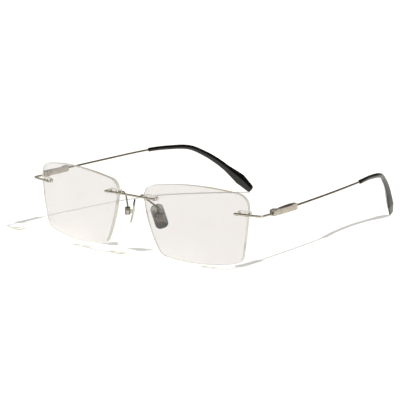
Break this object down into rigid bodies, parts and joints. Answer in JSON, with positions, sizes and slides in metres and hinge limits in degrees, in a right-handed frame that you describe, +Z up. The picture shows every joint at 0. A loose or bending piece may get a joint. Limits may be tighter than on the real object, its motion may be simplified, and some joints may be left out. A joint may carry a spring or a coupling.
{
  "type": "eyeglasses",
  "caption": "Rimless wire eyeglasses: clear rectangular lenses drilled onto a straight bridge bar, folding wire temples with dark angular ear tips, and rocking metal nose pads.",
  "frame": {"origin": "on the floor under the middle of the whole object's box, with the temples open", "axes": "+X to the wearer's left, +Y back along the temples, +Z up"},
  "size_m": [0.1438, 0.1426, 0.0354],
  "materials": {
    "clear_lens": "polished, clear",
    "clear_bushing": "moulded, clear",
    "satin_titanium": "satin, plated warm grey",
    "polished_titanium": "polished, dark grey",
    "screw_steel": "turned",
    "black_acetate": "polished black"
  },
  "bodies": {
    "front": {"bridge_bar": "satin_titanium", "lens_left": "clear_lens", "bridge_bushing_left": "clear_bushing", "endpiece_bushing_left": "clear_bushing", "endpiece_left": "satin_titanium", "hinge_block_left": "satin_titanium", "hinge_screw_left": "screw_steel", "pad_arm_left": "satin_titanium", "pad_box_left": "satin_titanium", "pad_screw_left": "screw_steel", "lens_right": "clear_lens", "bridge_bushing_right": "clear_bushing", "endpiece_bushing_right": "clear_bushing", "endpiece_right": "satin_titanium", "hinge_block_right": "satin_titanium", "hinge_screw_right": "screw_steel", "pad_arm_right": "satin_titanium", "pad_box_right": "satin_titanium", "pad_screw_right": "screw_steel"},
    "temple_left": {"temple_plate_left": "satin_titanium", "temple_wire_left": "satin_titanium", "temple_tip_left": "black_acetate"},
    "pad_left": {"nose_pad_left": "polished_titanium"},
    "temple_right": {"temple_plate_right": "satin_titanium", "temple_wire_right": "satin_titanium", "temple_tip_right": "black_acetate"},
    "pad_right": {"nose_pad_right": "polished_titanium"}
  },
  "joints": [
    {"name": "temple_fold_left", "type": "hinge", "parent": "front", "child": "temple_left", "pos_m": [0.06989, -0.05277, 0.0258], "axis": [0, 0, 1], "range_deg": [0, 80]},
    {"name": "temple_fold_right", "type": "hinge", "parent": "front", "child": "temple_right", "pos_m": [-0.06989, -0.05277, 0.0258], "axis": [0, 0, -1], "range_deg": [0, 72]},
    {"name": "pad_rock_left", "type": "hinge", "parent": "front", "child": "pad_left", "pos_m": [0.0104, -0.06057, 0.01645], "axis": [0.6428, 0.766, 0], "range_deg": [-8, 8]},
    {"name": "pad_rock_right", "type": "hinge", "parent": "front", "child": "pad_right", "pos_m": [-0.0104, -0.06057, 0.01645], "axis": [-0.6428, 0.766, 0], "range_deg": [-8, 8]}
  ]
}
